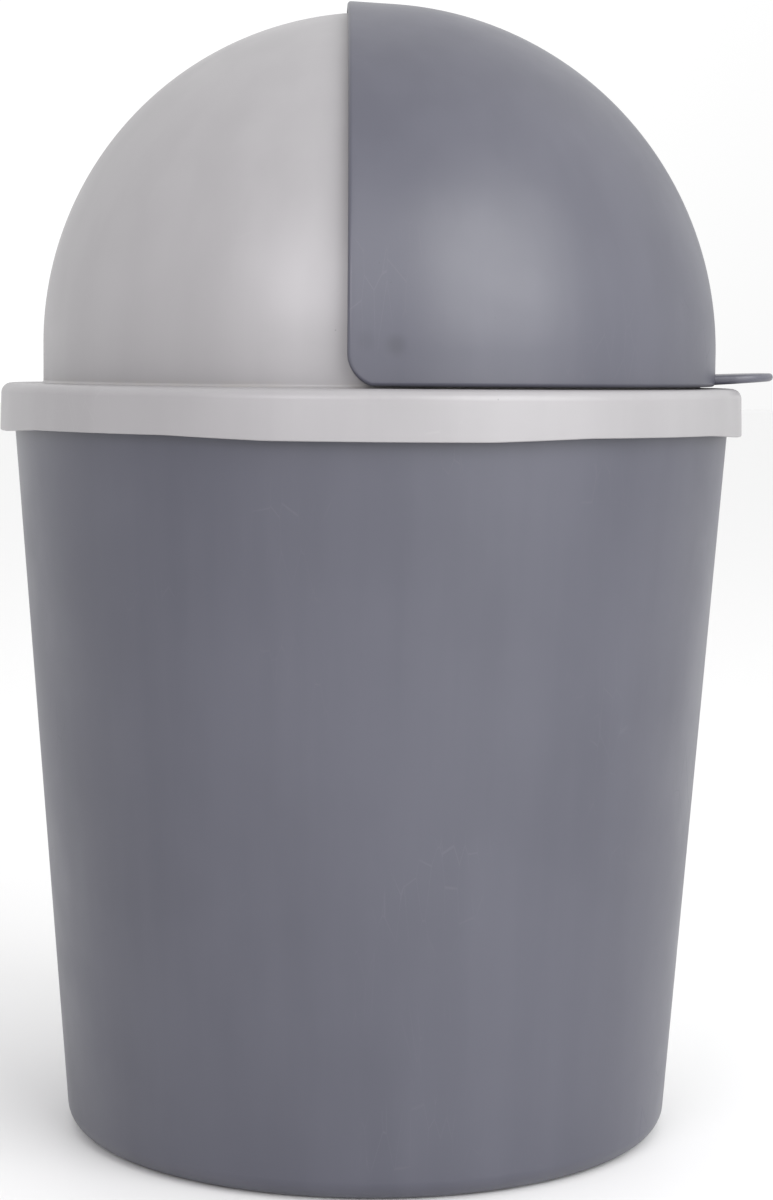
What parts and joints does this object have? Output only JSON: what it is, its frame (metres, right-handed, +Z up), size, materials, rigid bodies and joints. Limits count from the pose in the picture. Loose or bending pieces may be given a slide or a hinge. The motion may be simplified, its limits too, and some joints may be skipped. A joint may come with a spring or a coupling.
{
  "type": "tabletop swing top bin",
  "caption": "Small round tabletop bin: tapered bucket, lift-off lid with a fixed half dome, and an outer half dome that swings up and over it by a push tab.",
  "frame": {"origin": "centre of the foot ring, on the surface that the bin stands on", "axes": "+Z up through the bucket's and the dome's common axis, +X towards the mouth and the push tab, Y along the flap's pivot axis"},
  "size_m": [0.2046, 0.1966, 0.2985],
  "materials": {
    "dark_grey_plastic": "fine satin moulded polypropylene",
    "light_grey_plastic": "fine satin moulded polypropylene"
  },
  "bodies": {
    "bucket": {"bucket": "dark_grey_plastic"},
    "lid": {"lid": "light_grey_plastic"},
    "swing_flap": {"swing_flap": "dark_grey_plastic"}
  },
  "joints": [
    {"name": "lid_lift", "type": "slide", "parent": "bucket", "child": "lid", "axis": [0, 0, 1], "range_m": [0, 0.06]},
    {"name": "flap_swing", "type": "hinge", "parent": "lid", "child": "swing_flap", "pos_m": [0, 0, 0.20705], "axis": [0, -1, 0], "range_deg": [0, 90]}
  ]
}
